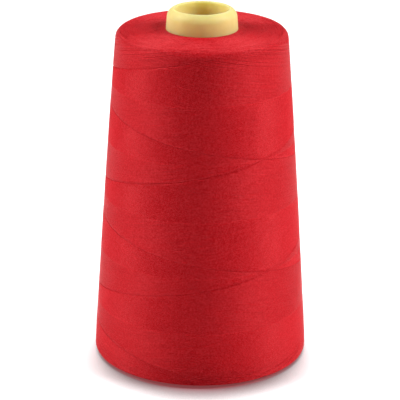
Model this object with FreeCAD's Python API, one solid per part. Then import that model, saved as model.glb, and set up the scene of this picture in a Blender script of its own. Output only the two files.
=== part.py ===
import FreeCAD, Part
import math
import os

# Cone of sewing thread: a moulded, tapered plastic core with a cross-wound package of thread on it.
# Millimetres. +Z up along the core's axis; the origin is the centre of the core's foot, where it stands.

# ---- Driving dimensions: the core ----
HALF_ANGLE = math.radians(4 + 20 / 60)  # taper of the core, the usual 4 deg 20 min
CORE_LENGTH = 148.2
TIP_RADIUS = 14.0                       # outside of the taper, carried up to the top plane
WALL = 1.8
BORE_RADIUS = 10.9                      # hole through the nose
NOSE_LAND = 9.0                         # height of the thick nose ring, measured down from the top
NOSE_STEP = 3.0                         # height over which the ring thins to the wall
NOSE_ROUND = 3.9                        # big outer rounding of the rim
BORE_ROUND = 0.7                        # small rounding where the rim meets the bore
FOOT_HEIGHT = 1.2
FOOT_BEAD = 1.3                         # how far the foot stands out past the taper
FOOT_ROUND = 0.4

# ---- Driving dimensions: details of the core ----
GRIP_GROOVES = 36                       # lengthwise grooves that hold the first layer of thread
GROOVE_DEPTH = 0.35
GROOVE_WIDTH = 0.9
GROOVE_MARGIN = 6.0                     # smooth land left at each end of the winding
RIBS = 6                                # short stiffening ribs inside the foot
RIB_HEIGHT = 13.0
RIB_THICKNESS = 1.4
RIB_DEPTH = 1.2
RIB_START = 1.0                         # height of the ribs' lower ends above the floor
NOTCH_WIDTH = 0.8                       # slot in the foot that catches the thread's first end
NOTCH_HEIGHT = 0.8

# ---- Driving dimensions: the thread package ----
PACKAGE_BOTTOM = FOOT_HEIGHT
PACKAGE_HEIGHT = 138.3
BASE_RADIUS = 45.0
TOP_RADIUS = 35.0                       # side line carried up to the top plane
BARREL = 0.3                            # outward bow of the side at half height
BASE_ROUND = 0.9
SHOULDER_ROUND = 3.2
TOP_CROWN = 0.3                         # rise of the top face at the core


def core_radius(z):
    """Outside radius of the core's taper at height z."""
    return TIP_RADIUS + (CORE_LENGTH - z) * math.tan(HALF_ANGLE)


def point(radius, z):
    """A point of a profile, which lies in the XZ plane."""
    return FreeCAD.Vector(radius, 0, z)


def line(a, b):
    return Part.LineSegment(a, b).toShape()


def arc(a, middle, b):
    return Part.Arc(a, middle, b).toShape()


def corner_arc(before, corner, after, radius):
    """Rounds a corner of a profile. Returns the tangent points and the arc's middle."""
    back = (before - corner).normalize()
    on = (after - corner).normalize()
    half = back.getAngle(on) / 2
    start = corner + back * (radius / math.tan(half))
    end = corner + on * (radius / math.tan(half))
    inward = (back + on).normalize()
    middle = corner + inward * (radius / math.sin(half) - radius)
    return start, middle, end


def revolve(edges):
    """Turns a closed profile once round the axis."""
    face = Part.Face(Part.Wire(edges))
    return face.revolve(FreeCAD.Vector(0, 0, 0), FreeCAD.Vector(0, 0, 1), 360)


def nose_rim_edges():
    """The rim from the taper over the top to the bore: one big arc and a small one."""
    # The small arc touches the bore, the big arc from inside and the top plane. The big arc's
    # centre moves with the taper, so its height is found in a few steps.
    small_r = BORE_RADIUS + BORE_ROUND
    reach = NOSE_ROUND - BORE_ROUND
    centre_z = CORE_LENGTH - NOSE_ROUND
    for _ in range(5):
        centre_r = core_radius(centre_z) - NOSE_ROUND / math.cos(HALF_ANGLE)
        small_z = CORE_LENGTH - BORE_ROUND
        centre_z = small_z - math.sqrt(reach ** 2 - (small_r - centre_r) ** 2)
    tangent = point(
        centre_r + NOSE_ROUND * math.cos(HALF_ANGLE),
        centre_z + NOSE_ROUND * math.sin(HALF_ANGLE),
    )
    out = math.atan2(small_z - centre_z, small_r - centre_r)
    meet = point(
        centre_r + NOSE_ROUND * math.cos(out),
        centre_z + NOSE_ROUND * math.sin(out),
    )
    half_way = (HALF_ANGLE + out) / 2
    big_middle = point(
        centre_r + NOSE_ROUND * math.cos(half_way),
        centre_z + NOSE_ROUND * math.sin(half_way),
    )
    turn = (out + math.pi) / 2
    small_middle = point(
        small_r + BORE_ROUND * math.cos(turn),
        small_z + BORE_ROUND * math.sin(turn),
    )
    bore_top = point(BORE_RADIUS, small_z)
    return tangent, [arc(tangent, big_middle, meet), arc(meet, small_middle, bore_top)], bore_top


def core_blank():
    """The core as turned: foot bead, tapered wall, thick nose ring and rounded rim."""
    rim_start, rim, bore_top = nose_rim_edges()
    land_bottom = CORE_LENGTH - NOSE_LAND
    step_bottom = land_bottom - NOSE_STEP
    inner_wall_top = point(core_radius(step_bottom) - WALL, step_bottom)
    inner_wall_foot = point(core_radius(0) - WALL, 0)
    foot_radius = core_radius(0) + FOOT_BEAD
    foot_corner = point(foot_radius, 0)
    foot_top = point(foot_radius, FOOT_HEIGHT)
    taper_foot = point(core_radius(FOOT_HEIGHT), FOOT_HEIGHT)
    low = corner_arc(inner_wall_foot, foot_corner, foot_top, FOOT_ROUND)
    high = corner_arc(foot_corner, foot_top, taper_foot, FOOT_ROUND)
    edges = [
        line(bore_top, point(BORE_RADIUS, land_bottom)),
        line(point(BORE_RADIUS, land_bottom), inner_wall_top),
        line(inner_wall_top, inner_wall_foot),
        line(inner_wall_foot, low[0]),
        arc(*low),
        line(low[2], high[0]),
        arc(*high),
        line(high[2], taper_foot),
        line(taper_foot, rim_start),
    ]
    return revolve(edges + rim)


def around(shape, count, first=0.0):
    """Copies of shape, evenly spaced round the axis."""
    turned = []
    for i in range(count):
        copy = shape.copy()
        angle = first + 360.0 * i / count
        copy.rotate(FreeCAD.Vector(0, 0, 0), FreeCAD.Vector(0, 0, 1), angle)
        turned.append(copy)
    return turned


def grip_groove():
    """Cutter for one lengthwise groove, of even depth along the taper."""
    low = PACKAGE_BOTTOM + GROOVE_MARGIN
    high = PACKAGE_BOTTOM + PACKAGE_HEIGHT - GROOVE_MARGIN
    outside = 1.0
    corners = [
        point(core_radius(low) - GROOVE_DEPTH, low),
        point(core_radius(low) + outside, low),
        point(core_radius(high) + outside, high),
        point(core_radius(high) - GROOVE_DEPTH, high),
    ]
    face = Part.Face(Part.makePolygon(corners + corners[:1]))
    cutter = face.extrude(FreeCAD.Vector(0, GROOVE_WIDTH, 0))
    cutter.translate(FreeCAD.Vector(0, -GROOVE_WIDTH / 2, 0))
    return cutter


def foot_rib():
    """One stiffening rib on the inside of the wall, with a sloping top."""
    low = RIB_START
    high = RIB_START + RIB_HEIGHT
    sunk = WALL / 2
    corners = [
        point(core_radius(low) - WALL - RIB_DEPTH, low),
        point(core_radius(low) - sunk, low),
        point(core_radius(high) - sunk, high),
        point(core_radius(high) - WALL, high),
        point(core_radius(high) - WALL - RIB_DEPTH, high - 2 * RIB_DEPTH),
    ]
    face = Part.Face(Part.makePolygon(corners + corners[:1]))
    rib = face.extrude(FreeCAD.Vector(0, RIB_THICKNESS, 0))
    rib.translate(FreeCAD.Vector(0, -RIB_THICKNESS / 2, 0))
    return rib


def cone_core():
    core = core_blank()
    core = core.fuse(around(foot_rib(), RIBS)).removeSplitter()
    notch = Part.makeBox(
        core_radius(0) + FOOT_BEAD,
        NOTCH_WIDTH,
        NOTCH_HEIGHT,
        FreeCAD.Vector(0, -NOTCH_WIDTH / 2, 0),
    )
    half_rib_step = 180.0 / RIBS
    cutters = around(grip_groove(), GRIP_GROOVES) + around(notch, 2, half_rib_step)
    return core.cut(cutters).Solids[0]


def thread_package():
    """The wound thread as one closed body: bowed side, soft shoulder, nearly flat ends."""
    bottom = PACKAGE_BOTTOM
    top = PACKAGE_BOTTOM + PACKAGE_HEIGHT
    core_low = point(core_radius(bottom), bottom)
    base_corner = point(BASE_RADIUS, bottom)
    shoulder = point(TOP_RADIUS, top)
    core_high = point(core_radius(top + TOP_CROWN), top + TOP_CROWN)
    low = corner_arc(core_low, base_corner, shoulder, BASE_ROUND)
    high = corner_arc(base_corner, shoulder, core_high, SHOULDER_ROUND)
    side = high[0] - low[2]
    outward = FreeCAD.Vector(side.z, 0, -side.x).normalize()
    bowed = low[2] + side * 0.5 + outward * BARREL
    return revolve([
        line(core_low, low[0]),
        arc(*low),
        arc(low[2], bowed, high[0]),
        arc(*high),
        line(high[2], core_high),
        line(core_high, core_low),
    ])


def main():
    os.makedirs("parts", exist_ok=True)
    for name, shape in (("cone_core", cone_core()), ("thread_package", thread_package())):
        assert shape.isValid(), name
        print(name, shape.ShapeType, round(shape.Volume / 1000, 2), "cm3")
        shape.exportStep(f"parts/{name}.step")


main()
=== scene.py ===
# %% [markdown]
# # A cone of red sewing thread
# A thread cone is only two things: a hollow plastic core and one thread, several kilometres long,
# wound on it. The core is already exact in CAD, so it is kept and only gets its finish. The wound
# thread is a plain solid there, so here it is wound again, turn by turn.

# %% Load the CAD frame
import math

import bpy
import numpy as np
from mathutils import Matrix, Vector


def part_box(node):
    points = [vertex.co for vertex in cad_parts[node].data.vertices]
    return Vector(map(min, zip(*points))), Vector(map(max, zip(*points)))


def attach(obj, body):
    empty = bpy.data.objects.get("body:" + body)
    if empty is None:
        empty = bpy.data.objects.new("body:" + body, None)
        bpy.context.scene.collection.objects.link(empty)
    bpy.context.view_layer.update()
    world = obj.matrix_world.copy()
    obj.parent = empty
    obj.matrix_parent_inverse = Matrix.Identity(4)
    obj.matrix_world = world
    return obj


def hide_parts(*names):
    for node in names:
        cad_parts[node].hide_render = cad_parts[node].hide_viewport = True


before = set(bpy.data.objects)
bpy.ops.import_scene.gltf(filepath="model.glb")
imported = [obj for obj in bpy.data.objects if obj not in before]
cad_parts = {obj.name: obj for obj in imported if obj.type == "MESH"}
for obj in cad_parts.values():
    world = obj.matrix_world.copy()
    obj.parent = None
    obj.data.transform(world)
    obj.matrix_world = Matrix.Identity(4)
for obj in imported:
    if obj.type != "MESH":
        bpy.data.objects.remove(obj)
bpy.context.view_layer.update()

MM = 0.001  # Blender works in metres

# %% [markdown]
# ## Helpers
# Every operator acts on what is selected, and the loaded CAD nodes are selected, so each step
# first clears the selection. A curve that stands for a thread is turned into a mesh at once,
# because only a mesh has its place in its points and can be exported as it is seen.


# %% Selecting, and finishing a piece
def select_only(piece):
    bpy.ops.object.select_all(action="DESELECT")
    piece.select_set(True)
    bpy.context.view_layer.objects.active = piece


SAME_POINT = 0.002 * MM


def close_and_smooth(piece):
    """Joins the loose end caps to their tubes, points every face outwards and shades it smooth."""
    select_only(piece)
    bpy.ops.object.mode_set(mode="EDIT")
    bpy.ops.mesh.select_all(action="SELECT")
    bpy.ops.mesh.remove_doubles(threshold=SAME_POINT)
    bpy.ops.mesh.normals_make_consistent(inside=False)
    bpy.ops.object.mode_set(mode="OBJECT")
    bpy.ops.object.shade_smooth()


def count_triangles(piece):
    return sum(len(face.vertices) - 2 for face in piece.data.polygons)


def stands_for_thread(piece):
    """A piece of the wound thread rides on the body and is shown instead of the plain solid."""
    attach(piece, "root")
    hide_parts("thread_package")
    print(piece.name, count_triangles(piece), "triangles")


# %% [markdown]
# ## The outline of the package
# Seen from the side, a wound cone is a nearly straight flank that bows out slightly, because the
# thread is softer in the middle than at the ends, where it turns round. The foot edge is tight and
# the shoulder is soft. The outline is worked out once, as a line from the core under the package,
# round the flank and back to the core on top, and everything that lies on the package follows it.

# %% Sizes of the package
package_low, package_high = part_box("thread_package")
core_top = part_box("cone_core")[1][2]
PACKAGE_FOOT = package_low[2]
CROWN = 0.3 * MM  # the top face rises so much towards the core
PACKAGE_TOP = package_high[2] - CROWN
PACKAGE_HEIGHT = PACKAGE_TOP - PACKAGE_FOOT
BASE_RADIUS = 45 * MM
TOP_RADIUS = 35 * MM
BOW = 0.3 * MM  # and the flank bows out so much half way up
FOOT_ROUND = 0.9 * MM
SHOULDER_ROUND = 3.2 * MM
TAPER = math.tan(math.radians(4 + 20 / 60))
TIP_RADIUS = 14 * MM  # where the core's slanting side would end at its top
FACE_POINTS = 100
CORNER_POINTS = 24
FLANK_POINTS = 200
print("package from", round(PACKAGE_FOOT / MM, 2), "to", round(PACKAGE_TOP / MM, 2), "mm")


# %% Work out the outline
def core_radius(height):
    """The core's outside radius, which the package sits on."""
    return TIP_RADIUS + (core_top - height) * TAPER


def rounded_corner(before, corner, after, radius):
    """Points of the arc that rounds a corner of the outline."""
    back = (before - corner) / np.linalg.norm(before - corner)
    on = (after - corner) / np.linalg.norm(after - corner)
    half = math.acos(float(back @ on)) / 2
    centre = corner + (back + on) / np.linalg.norm(back + on) * radius / math.sin(half)
    start = corner + back * radius / math.tan(half) - centre
    end = corner + on * radius / math.tan(half) - centre
    first = math.atan2(start[1], start[0])
    turn = (math.atan2(end[1], end[0]) - first) % (2 * math.pi)
    angles = first + turn * np.linspace(0, 1, CORNER_POINTS)
    return centre + radius * np.column_stack([np.cos(angles), np.sin(angles)])


def package_outline():
    """Radius and height along the outline, from the core under the package to the core on top."""
    under = np.array([core_radius(PACKAGE_FOOT), PACKAGE_FOOT])
    foot = np.array([BASE_RADIUS, PACKAGE_FOOT])
    shoulder = np.array([TOP_RADIUS, PACKAGE_TOP])
    crown = np.array([core_radius(PACKAGE_TOP + CROWN), PACKAGE_TOP + CROWN])
    low = rounded_corner(under, foot, shoulder, FOOT_ROUND)
    high = rounded_corner(foot, shoulder, crown, SHOULDER_ROUND)
    along = np.linspace(0, 1, FLANK_POINTS)[1:-1, None]
    flank = low[-1] + (high[0] - low[-1]) * along
    flank[:, 0] += BOW * 4 * along[:, 0] * (1 - along[:, 0])
    inward = np.linspace(0, 1, FACE_POINTS)[:, None]
    bottom = under + (low[0] - under) * inward[:-1]
    top = high[-1] + (crown - high[-1]) * inward[1:]
    return np.vstack([bottom, low, flank, high, top])


outline = package_outline()
run = np.concatenate([[0], np.cumsum(np.linalg.norm(np.diff(outline, axis=0), axis=1))])
heading = np.gradient(outline, run, axis=0)
heading /= np.linalg.norm(heading, axis=1)[:, None]
middle_height = (PACKAGE_FOOT + PACKAGE_TOP) / 2
FLANK = slice(FACE_POINTS, -FACE_POINTS)
flank_middle = np.interp(middle_height, outline[FLANK, 1], run[FLANK])
SLANT = math.hypot(PACKAGE_HEIGHT, BASE_RADIUS - TOP_RADIUS) / PACKAGE_HEIGHT


def on_package(place, sunk):
    """Radius and height at a place along the outline, sunk below the surface by so much."""
    radius = np.interp(place, run, outline[:, 0])
    height = np.interp(place, run, outline[:, 1])
    out_r = np.interp(place, run, heading[:, 1])
    out_z = -np.interp(place, run, heading[:, 0])
    return radius - out_r * sunk, height - out_z * sunk


def around_axis(radius, height, angle):
    """Points in space. Angle 0 faces the front, which is -Y, and grows to the right."""
    return np.column_stack([radius * np.sin(angle), -radius * np.cos(angle), height])


print("outline of", len(outline), "points,", round(run[-1] / MM, 1), "mm long")

# %% [markdown]
# ## The winding
# The thread climbs the cone as a steep screw, turns round at the shoulder and comes down again.
# On a precision winder six turns and a little more make one round trip, so each trip lies right
# beside the last one. After enough trips the whole cone is covered, once by climbing threads and
# once by falling ones. Which of the two is on top changes from place to place, and these fields,
# with a straight step where the newest thread lies beside the oldest, are the pattern that every
# such cone shows. The thread's route is therefore worked out by the winder's own rule.

# %% The winder's settings
THREAD = 0.28 * MM
LEAD = 47 * MM  # height climbed in one turn
TURNS_A_TRIP = 6
TRIPS = 174
FIRST_ANGLE = math.radians(38)  # where the thread starts, to the right of the front
TURN_ROUND = 0.0575  # part of a turn that the thread needs to swing round at an end
LAYER = 0.2 * MM  # the covered set of threads lies so much deeper than the one on top
AGEING = 0.05 * MM  # and the first trip so much deeper than the last
GROOVE = 0.2 * MM  # depth of the groove at the edge of a field
LOOK_AHEAD = 0.0045  # half the groove's width, in turns
INTERLEAVED = 2.5  # trips over which one set dives under the other
ENDS_LEVEL = 0.16  # so near to an end, in turns, both sets start to come level
winds = TURNS_A_TRIP + 1 / TRIPS
print(TRIPS, "round trips of", round(winds, 4), "turns")


# %% The route of the thread
def smooth_random(rng, places, spacing, size):
    """A random value that wanders smoothly along the thread, with a new goal every spacing."""
    count = int(places[-1] / spacing) + 3
    goals = rng.normal(0, size, count)
    at = places / spacing
    low = at.astype(int)
    mix = at - low
    mix = mix * mix * (3 - 2 * mix)
    return goals[low] * (1 - mix) + goals[low + 1] * mix


def rounded_turn(away):
    """Distance from the point where the thread turns back, with that sharp point rounded off."""
    return np.where(away < TURN_ROUND, (away**2 / TURN_ROUND + TURN_ROUND) / 2, away)


def turns_from_ends(turns):
    """How far the thread is from the foot and from the shoulder, in turns."""
    part = turns / winds % 1
    from_foot = np.minimum(part, 1 - part) * winds
    return part < 0.5, from_foot, winds / 2 - from_foot


def height_climbed(from_foot, from_top):
    """Height above the line where the thread would turn at the foot, both turns rounded off."""
    low = rounded_turn(from_foot)
    high = winds / 2 - rounded_turn(from_top)
    return LEAD * np.where(from_foot < from_top, low, high)


def depth_below_skin(turns):
    """How deep the middle of the thread lies.

    Where the other set of threads was laid later, this one is under it. At the edge between two
    fields it lies lowest, which leaves a groove there. Towards the ends both sets come level.
    """
    climbing, from_foot, from_top = turns_from_ends(turns)
    lean = np.where(climbing, -1, 1) * height_climbed(from_foot, from_top) / LEAD
    age_of_other = (turns - lean) % 1
    to_edge = np.minimum(age_of_other, 1 - age_of_other) / 2
    laid_later = (turns - lean - 2 * LOOK_AHEAD) % 1 * TRIPS - turns / winds  # in trips
    under = np.clip(0.5 + laid_later / INTERLEAVED, 0, 1)
    groove = np.clip(1 - to_edge / LOOK_AHEAD, 0, 1)
    settled = np.clip(np.minimum(from_foot, from_top) / ENDS_LEVEL, 0, 1)
    under = 0.5 + (under - 0.5) * settled
    groove = groove * settled
    return THREAD / 2 + LAYER * under + GROOVE * groove + AGEING * (1 - turns / winds / TRIPS)


STEPS_A_TURN = 72
FINE_STEPS = 10  # in each of those steps
SHARPEST = 0.03 * MM  # the most that the depth may bend in a fine step with no point there


def points_along_thread():
    """Even steps, and more points where the thread has to bend sharply to dive."""
    fine_steps_a_turn = STEPS_A_TURN * FINE_STEPS
    fine = np.arange(int(TRIPS * winds * fine_steps_a_turn)) / fine_steps_a_turn
    depth = depth_below_skin(fine)
    wanted = np.zeros(len(fine), bool)
    wanted[::FINE_STEPS] = True
    wanted[1:-1] |= np.abs(np.diff(depth, 2)) > SHARPEST
    wanted[-1] = True
    return fine[wanted]


# A new goal every so many turns, and how far the goals lie from the ideal line.
SHORT_WANDER = (0.4, 0.015 * MM)
LONG_WANDER = (2.3, 0.025 * MM)
UNEVEN_DEPTH = (0.3, 0.006 * MM)

# Each turn-round stops a little short of its place or goes a little past it.
SHORT_OF_PLACE = -0.35 * MM
PAST_PLACE = 0.3 * MM
REACH_FADES = 0.15  # in turns from the end


def winding_route():
    """The last layer of thread, as points from the first trip to the last."""
    rng = np.random.default_rng(TRIPS)
    turns = points_along_thread()
    _, from_foot, from_top = turns_from_ends(turns)

    wander = smooth_random(rng, turns, *SHORT_WANDER) + smooth_random(rng, turns, *LONG_WANDER)
    end = np.floor(2 * turns / winds + 0.5).astype(int)
    reach = rng.uniform(SHORT_OF_PLACE, PAST_PLACE, end.max() + 1)[end]
    wander = wander + reach * np.exp(-((np.minimum(from_foot, from_top) / REACH_FADES) ** 2))

    middle = PACKAGE_HEIGHT / 2 + LEAD * TURN_ROUND / 2
    place = flank_middle + (height_climbed(from_foot, from_top) - middle) * SLANT + wander
    sunk = depth_below_skin(turns) + smooth_random(rng, turns, *UNEVEN_DEPTH)
    radius, height = on_package(place, sunk)
    return around_axis(radius, height, FIRST_ANGLE + 2 * math.pi * turns)


route = winding_route()
print("route of", len(route), "points,", round(TRIPS * winds), "turns")

# %% [markdown]
# ## The thread itself
# A thread is a long tube, and Blender makes one from a curve with a round bevel. The route is
# cut into a few lengths, so that no mesh grows too large, and each length shares its last point
# with the next one. A section of four corners is enough: shaded smooth, each turn reads as round
# from any distance at which a hair-thin thread can be seen.


# %% Making tubes from routes
def make_thread(name, routes, thickness, material):
    curve = bpy.data.curves.new(name, "CURVE")
    curve.dimensions = "3D"
    curve.twist_mode = "Z_UP"
    curve.bevel_depth = thickness / 2
    curve.bevel_resolution = 0
    curve.use_fill_caps = True
    for points in routes:
        spline = curve.splines.new("POLY")
        spline.points.add(len(points) - 1)
        spline.points.foreach_set("co", np.column_stack([points, np.ones(len(points))]).ravel())
    piece = bpy.data.objects.new(name, curve)
    bpy.context.scene.collection.objects.link(piece)
    select_only(piece)
    bpy.ops.object.convert(target="MESH")
    close_and_smooth(piece)
    piece.data.materials.clear()
    piece.data.materials.append(material)
    stands_for_thread(piece)


# %% [markdown]
# ## The finish of the thread
# Spun polyester is dyed through, so the colour is deep and even. It is not shiny like silk, but
# its fibres mirror some light in their own colour, which a small metallic part stands for, and a
# thin sheen stands for the loose ends. Fine noise of a thread's size makes darker and lighter
# specks, as uneven dye and lint do. The fibres lie almost level round the cone, so the grain of
# the surface is stretched that way.


# %% Filling a colour ramp
def fill_ramp(ramp, steps):
    """Adds the steps before it sets any of them, because each new step moves those after it."""
    for position, _ in steps[1:-1]:
        ramp.elements.new(position)
    for element, (position, colour) in zip(ramp.elements, steps):
        element.position = position
        element.color = (*colour, 1)


# %% Red thread
THREAD_RED = (0.60, 0.0018, 0.0075)
LINT_RED = (0.68, 0.029, 0.04)
DARKER_DYE = 0.905


def red_thread():
    material = bpy.data.materials.new("thread_red")
    material.use_nodes = True
    nodes = material.node_tree.nodes
    links = material.node_tree.links
    shader = nodes["Principled BSDF"]
    shader.inputs["Roughness"].default_value = 0.42
    shader.inputs["Specular IOR Level"].default_value = 0.13
    shader.inputs["Metallic"].default_value = 0.12
    shader.inputs["Sheen Weight"].default_value = 0.02
    shader.inputs["Sheen Roughness"].default_value = 0.5
    shader.inputs["Sheen Tint"].default_value = (1.0, 0.75, 0.78, 1)
    place = nodes.new("ShaderNodeTexCoord")
    stretch = nodes.new("ShaderNodeMapping")
    stretch.inputs["Scale"].default_value = (1100, 1100, 3000)
    fibres = nodes.new("ShaderNodeTexNoise")
    fibres.inputs["Scale"].default_value = 1
    fibres.inputs["Detail"].default_value = 3
    bump = nodes.new("ShaderNodeBump")
    bump.inputs["Strength"].default_value = 0.42
    bump.inputs["Distance"].default_value = 0.06 * MM
    dye = nodes.new("ShaderNodeTexNoise")
    dye.inputs["Scale"].default_value = 1450
    dye.inputs["Detail"].default_value = 2
    shades = nodes.new("ShaderNodeValToRGB")
    dark_red = [DARKER_DYE * part for part in THREAD_RED]
    fill_ramp(shades.color_ramp, [(0.36, dark_red), (0.74, LINT_RED)])
    links.new(place.outputs["Object"], dye.inputs["Vector"])
    links.new(dye.outputs["Fac"], shades.inputs["Fac"])
    links.new(shades.outputs["Color"], shader.inputs["Base Color"])
    links.new(place.outputs["Object"], stretch.inputs["Vector"])
    links.new(stretch.outputs["Vector"], fibres.inputs["Vector"])
    links.new(fibres.outputs["Fac"], bump.inputs["Height"])
    links.new(bump.outputs["Normal"], shader.inputs["Normal"])
    return material


thread_red = red_thread()
print(thread_red.name, "of", len(thread_red.node_tree.nodes), "nodes")

# %% [markdown]
# ## What the last layer lies on
# Under the visible threads are hundreds of layers more. Only the top of them can be glimpsed
# between two turns, so they are one closed ring. Its section is the outline, a few threads deep,
# spun once round the axis.


# %% The inner layers
INNER_DEPTH = THREAD + LAYER + 0.1 * MM
SPIN_STEPS = 180


def inner_layers():
    """A closed ring with every sixth point of the outline on its faces, every third elsewhere."""
    places = np.concatenate([run[:FACE_POINTS:6], run[FLANK][::3], run[-FACE_POINTS::6]])
    radius, height = on_package(places, INNER_DEPTH)
    count = len(places)
    bpy.ops.object.select_all(action="DESELECT")
    bpy.ops.mesh.primitive_circle_add(vertices=count, radius=BASE_RADIUS, fill_type="NOTHING")
    piece = bpy.context.object
    piece.name = "inner_layers"
    piece.data.name = "inner_layers"
    for vertex, r, z in zip(piece.data.vertices, radius, height):
        vertex.co = (r, 0, z)
    spin = piece.modifiers.new("spin", "SCREW")
    spin.axis = "Z"
    spin.steps = SPIN_STEPS
    spin.render_steps = SPIN_STEPS
    spin.use_merge_vertices = True
    spin.merge_threshold = 0.01 * MM
    bpy.ops.object.modifier_apply(modifier=spin.name)
    close_and_smooth(piece)
    piece.data.materials.append(thread_red)
    stands_for_thread(piece)


inner_layers()

# %% [markdown]
# ## The wraps
# Now the route becomes thread. It is laid in five lengths, one after another.

# %% Lay the last layer
LENGTHS = 5
cuts = np.linspace(0, len(route) - 1, LENGTHS + 1).astype(int)
for number in range(LENGTHS):
    stretch_of_route = route[cuts[number] : cuts[number + 1] + 1]
    make_thread(f"thread_wraps_{number + 1}", [stretch_of_route], THREAD, thread_red)

# %% [markdown]
# ## Turns that slipped
# Here and there a turn slips a little and lies across its neighbours instead of between them. A few
# short lengths of thread stand just proud of the winding, and both ends dive back into it. Each
# is given by the angle from the front in degrees and the height in mm, first of one end and then
# of the other.

# %% Lay the slipped turns
PROUD = 0.02 * MM
ENDS_DIVE = 0.5 * MM
SLIPPED = [
    (-17, 125.1, -6, 124.0),
    (-15, 124.3, -5, 123.1),
    (-39, 82.0, -24, 84.2),
    (-57, 69.3, -43, 70.1),
    (-37, 69.0, -29, 70.3),
    (34, 28.0, 44, 30.4),
    (88, 96.0, 101, 93.4),
    (131, 40.5, 142, 43.0),
    (170, 110.0, 186, 113.1),
    (209, 66.0, 218, 64.1),
    (247, 21.0, 262, 24.0),
]


def slipped_turns():
    """Routes that lie level on the winding and dive only close to their ends."""
    share = np.linspace(0, 1, 14)
    routes = []
    for first, low, last, high in SLIPPED:
        angle = np.radians(first + (last - first) * share)
        height = (low + (high - low) * share) * MM
        place = flank_middle + (height - PACKAGE_HEIGHT / 2) * SLANT
        sunk = -PROUD + ENDS_DIVE * np.abs(2 * share - 1) ** 6
        radius, level = on_package(place, sunk)
        routes.append(around_axis(radius, level, angle))
    return routes


make_thread("slipped_turns", slipped_turns(), THREAD * 0.9, thread_red)

# %% [markdown]
# ## The ends of the package
# At each end the thread comes up out of the winding, runs almost level for a short way while it
# turns round, and dives again. Every layer leaves such arcs on the end faces, so they look brushed
# in rings. One arc is a short piece of tube, lowest at its two ends, and it is laid again and again
# at every radius, each time with another start, length and slant.


# %% Arcs of the end faces
ARC_POINTS = 12
SHORTEST_ARC, LONGEST_ARC = 0.8, 1.3
ARC_OVERLAP = 0.62
ARC_SLANT = 0.12 * MM
ARC_CURL = 0.08 * MM
ARC_DRIFT = 0.08 * MM
ARC_UNEVEN = 0.07 * MM
ARC_DIVE = 0.45 * MM


def end_arcs(place_from, place_to, ring_step, arc_angle, seed):
    """Routes of the turn-round arcs between two places of the outline."""
    rng = np.random.default_rng(seed)
    share = np.linspace(-1, 1, ARC_POINTS)
    routes = []
    for place in np.arange(place_from, place_to, ring_step):
        first = rng.uniform(0, 2 * math.pi)
        turned = 0
        while turned < 2 * math.pi:
            spread = arc_angle * rng.uniform(SHORTEST_ARC, LONGEST_ARC)
            angle = first + turned + spread / 2 * share
            slant = rng.normal(0, ARC_SLANT)
            curl = rng.normal(0, ARC_CURL)
            drift = rng.normal(0, ARC_DRIFT) + slant * share + curl * share**2
            dip = rng.uniform(0, ARC_UNEVEN) + ARC_DIVE * np.abs(share) ** 3
            radius, height = on_package(place + drift, THREAD / 2 + dip)
            routes.append(around_axis(radius, height, angle))
            turned += spread * ARC_OVERLAP
    return routes


RING_POINTS = 97
RING_WOBBLE = 0.04 * MM
RING_SUNK = THREAD / 2 + 0.02 * MM
RING_SPACING = 0.95


def full_rings(places, seed):
    """Whole turns that close the face against the core."""
    rng = np.random.default_rng(seed)
    angle = np.linspace(0, 2 * math.pi, RING_POINTS)
    routes = []
    for place in places:
        wobble = rng.normal(0, RING_WOBBLE) * np.sin(angle * rng.integers(2, 6))
        radius, height = on_package(place + wobble, RING_SUNK)
        routes.append(around_axis(radius, height, angle + rng.uniform(0, 2 * math.pi)))
    return routes


# %% Cover the top
OVER_SHOULDER = 1.9 * MM
top_start = run[-FACE_POINTS] - OVER_SHOULDER
top_end = run[-1] - THREAD / 2
top_arcs = end_arcs(top_start, top_end, ring_step=0.22 * MM, arc_angle=math.radians(38), seed=31)
top_rings = full_rings(run[-1] - THREAD * np.arange(0.5, 9, RING_SPACING), seed=33)
make_thread("top_turns", top_arcs + top_rings, THREAD, thread_red)

# %% Cover the underside
ROUND_FOOT = 0.9 * MM
foot_start = THREAD / 2
foot_end = run[FACE_POINTS] + ROUND_FOOT
foot_arcs = end_arcs(foot_start, foot_end, ring_step=0.3 * MM, arc_angle=math.radians(36), seed=32)
foot_rings = full_rings(THREAD * np.arange(0.5, 5, RING_SPACING), seed=34)
make_thread("underside_turns", foot_arcs + foot_rings, THREAD, thread_red)

# %% [markdown]
# ## The plastic core
# The core keeps its CAD shape and gets a moulded polypropylene finish: cream-yellow, a little
# uneven in colour, with a fine orange-peel skin. Light goes some way into such plastic and comes
# out again beside, which makes it look waxy, and subsurface scattering does the same.


# %% Moulded plastic
DARK_CREAM = (0.65, 0.54, 0.205)
LIGHT_CREAM = (0.73, 0.625, 0.27)


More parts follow.
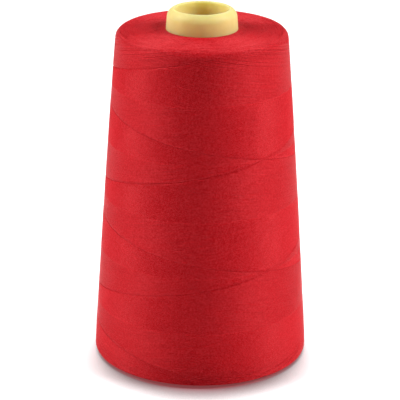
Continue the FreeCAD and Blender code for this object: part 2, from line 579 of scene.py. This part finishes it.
def core_plastic():
    material = bpy.data.materials.new("core_plastic")
    material.use_nodes = True
    nodes = material.node_tree.nodes
    links = material.node_tree.links
    shader = nodes["Principled BSDF"]
    shader.inputs["Roughness"].default_value = 0.42
    shader.inputs["Specular IOR Level"].default_value = 0.3
    shader.inputs["Subsurface Weight"].default_value = 0.9
    shader.inputs["Subsurface Radius"].default_value = (1.0, 0.7, 0.35)
    shader.inputs["Subsurface Scale"].default_value = 11 * MM
    place = nodes.new("ShaderNodeTexCoord")
    cloud = nodes.new("ShaderNodeTexNoise")
    cloud.inputs["Scale"].default_value = 90
    cloud.inputs["Detail"].default_value = 4
    creams = nodes.new("ShaderNodeValToRGB")
    fill_ramp(creams.color_ramp, [(0.3, DARK_CREAM), (0.7, LIGHT_CREAM)])
    skin = nodes.new("ShaderNodeTexNoise")
    skin.inputs["Scale"].default_value = 1200
    skin.inputs["Detail"].default_value = 2
    bump = nodes.new("ShaderNodeBump")
    bump.inputs["Strength"].default_value = 0.25
    bump.inputs["Distance"].default_value = 0.05 * MM
    links.new(place.outputs["Object"], cloud.inputs["Vector"])
    links.new(place.outputs["Object"], skin.inputs["Vector"])
    links.new(cloud.outputs["Fac"], creams.inputs["Fac"])
    links.new(creams.outputs["Color"], shader.inputs["Base Color"])
    links.new(skin.outputs["Fac"], bump.inputs["Height"])
    links.new(bump.outputs["Normal"], shader.inputs["Normal"])
    return material


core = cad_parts["cone_core"]
plastic = core_plastic()
for slot in core.material_slots:
    slot.material = plastic
print("core finished,", len(core.material_slots), "slots")

# %% [markdown]
# ## The floor
# The cone stands on a pale floor, as in a light tent. The floor glows a little, so that it is white,
# and a contact shadow is painted into its colour and its glow where the cone closes it in. How
# closed in a place is, ambient occlusion tells, by rays that it sends out. They lean to the back, so
# that the painted shadow is strongest in front. Next to the cone the painted shadow is reddish, a
# painted reflection of the red thread.


# %% Floor paint, with a painted contact shadow
# How far the painted contact shadow reaches from the cone.
PAINTED_SHADOW_REACH = 30 * MM
# Colours of the painted contact shadow, from the most closed-in floor to the open floor.
PAINTED_SHADOW_STEPS = [
    # The first, reddish step is a painted reflection of the red thread right next to the cone.
    (0.22, (0.42, 0.11, 0.12)),
    (0.36, (0.24, 0.12, 0.13)),
    (0.47, (0.32, 0.27, 0.275)),
    (0.60, (0.62, 0.60, 0.605)),
    (0.72, (0.93, 0.93, 0.93)),
]


def floor_painted_shadow():
    material = bpy.data.materials.new("floor_painted_shadow")
    material.use_nodes = True
    nodes = material.node_tree.nodes
    links = material.node_tree.links
    shader = nodes["Principled BSDF"]
    shader.inputs["Roughness"].default_value = 0.9
    shader.inputs["Specular IOR Level"].default_value = 0.1
    shader.inputs["Emission Strength"].default_value = 0.45
    lean_back = nodes.new("ShaderNodeCombineXYZ")
    lean_back.inputs["Y"].default_value = 0.8
    lean_back.inputs["Z"].default_value = 0.6
    shadow_occlusion = nodes.new("ShaderNodeAmbientOcclusion")
    shadow_occlusion.inputs["Distance"].default_value = PAINTED_SHADOW_REACH
    shadow_occlusion.samples = 48
    # The occlusion picks a colour of painted shadow for each place on the floor.
    painted_shadow = nodes.new("ShaderNodeValToRGB")
    fill_ramp(painted_shadow.color_ramp, PAINTED_SHADOW_STEPS)
    links.new(lean_back.outputs["Vector"], shadow_occlusion.inputs["Normal"])
    links.new(shadow_occlusion.outputs["AO"], painted_shadow.inputs["Fac"])
    # The painted shadow darkens both the floor's colour and its glow.
    links.new(painted_shadow.outputs["Color"], shader.inputs["Base Color"])
    links.new(painted_shadow.outputs["Color"], shader.inputs["Emission Color"])
    return material


# %% Floor
FLOOR_SIZE = 8
bpy.ops.object.select_all(action="DESELECT")
bpy.ops.mesh.primitive_plane_add(size=FLOOR_SIZE, location=(0, 0, 0))
floor = bpy.context.object
floor.name = "floor"
floor.data.materials.append(floor_painted_shadow())
print("floor of", FLOOR_SIZE, "m")

# %% [markdown]
# ## Light and camera
# Tall soft lights stand at both sides, high and low, so both flanks are bright and the middle,
# which faces the camera's opening, is darker. A weaker light behind lifts the top face.

# %% Lights
LIGHT_DISTANCE = 1.0
LIGHT_AIM = np.array([0, 0, 70 * MM])
SOFTBOXES = [
    # name, azimuth and elevation in degrees (0 is the front), width and height in m, watts
    ("left_high_softbox", -88, 42, 0.35, 0.7, 7.8),
    ("left_softbox", -80, 15, 0.4, 0.8, 2.5),
    ("right_high_softbox", 80, 42, 0.35, 0.7, 9.8),
    ("right_softbox", 80, 15, 0.4, 0.8, 1.6),
    ("back_softbox", 180, 50, 1.0, 0.6, 2.8),
]


def soft_light(name, azimuth, elevation, width, height, watts):
    """A large lamp that looks at the middle of the cone."""
    lamp = bpy.data.lights.new(name, "AREA")
    lamp.shape = "RECTANGLE"
    lamp.size = width
    lamp.size_y = height
    lamp.energy = watts
    stand = bpy.data.objects.new(name, lamp)
    bpy.context.scene.collection.objects.link(stand)
    around = math.radians(azimuth)
    up = math.radians(elevation)
    level = math.cos(up)
    direction = np.array([math.sin(around) * level, -math.cos(around) * level, math.sin(up)])
    stand.location = LIGHT_AIM + LIGHT_DISTANCE * direction
    stand.rotation_euler = (math.pi / 2 - up, 0, around)


for softbox in SOFTBOXES:
    soft_light(*softbox)
world = bpy.data.worlds.new("studio")
bpy.context.scene.world = world
world.use_nodes = True
world.node_tree.nodes["Background"].inputs["Color"].default_value = (1, 1, 1, 1)
world.node_tree.nodes["Background"].inputs["Strength"].default_value = 0.01
bpy.context.scene.view_settings.view_transform = "Standard"
print(len(SOFTBOXES), "softboxes set")

# %% Camera
FOCAL_LENGTH = 164.6
CAMERA_PLACE = (-0.0004, -0.718, 0.3287 + PACKAGE_FOOT)
LOOKS_DOWN = 20.2
TURNED_LEFT = 0.345
lens = bpy.data.cameras.new("camera")
lens.sensor_width = 36
lens.lens = FOCAL_LENGTH
camera = bpy.data.objects.new("camera", lens)
bpy.context.scene.collection.objects.link(camera)
camera.location = CAMERA_PLACE
camera.rotation_mode = "ZYX"
camera.rotation_euler = (math.radians(90 - LOOKS_DOWN), 0, math.radians(TURNED_LEFT))
bpy.context.scene.camera = camera
print("camera at", CAMERA_PLACE)
